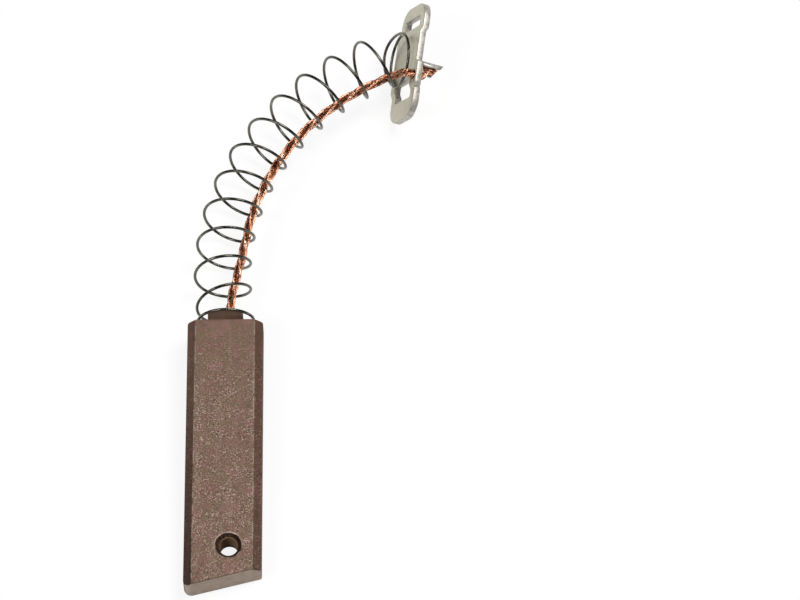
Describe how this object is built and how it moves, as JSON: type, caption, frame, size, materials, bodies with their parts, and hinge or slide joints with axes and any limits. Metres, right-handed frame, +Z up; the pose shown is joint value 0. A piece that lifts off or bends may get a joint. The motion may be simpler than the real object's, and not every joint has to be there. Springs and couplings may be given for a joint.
{
  "type": "carbon brush",
  "caption": "Carbon brush for an electric motor: long rectangular carbon block, long compression spring, copper shunt inside it and a slotted terminal plate.",
  "frame": {"origin": "middle of the brush's footprint, on the ground it lies on", "axes": "+Y from the contact face towards the spring and terminal plate, +X towards the side the spring bends to, +Z up from the ground"},
  "size_m": [0.0433, 0.1087, 0.013],
  "materials": {
    "carbon": "matt dark grey-brown electrographite, fine speckle",
    "copper_powder": "matt tamped copper powder, dull brown",
    "copper": "bare twisted copper wire, bright",
    "spring_steel": "drawn spring steel wire, dark grey, semi-gloss",
    "tinned_brass": "tinned sheet metal, satin, pale grey"
  },
  "bodies": {
    "root": {"carbon_block": "carbon", "powder_plug": "copper_powder", "copper_strand": "copper", "pressure_spring": "spring_steel", "terminal_plate": "tinned_brass"}
  },
  "joints": []
}
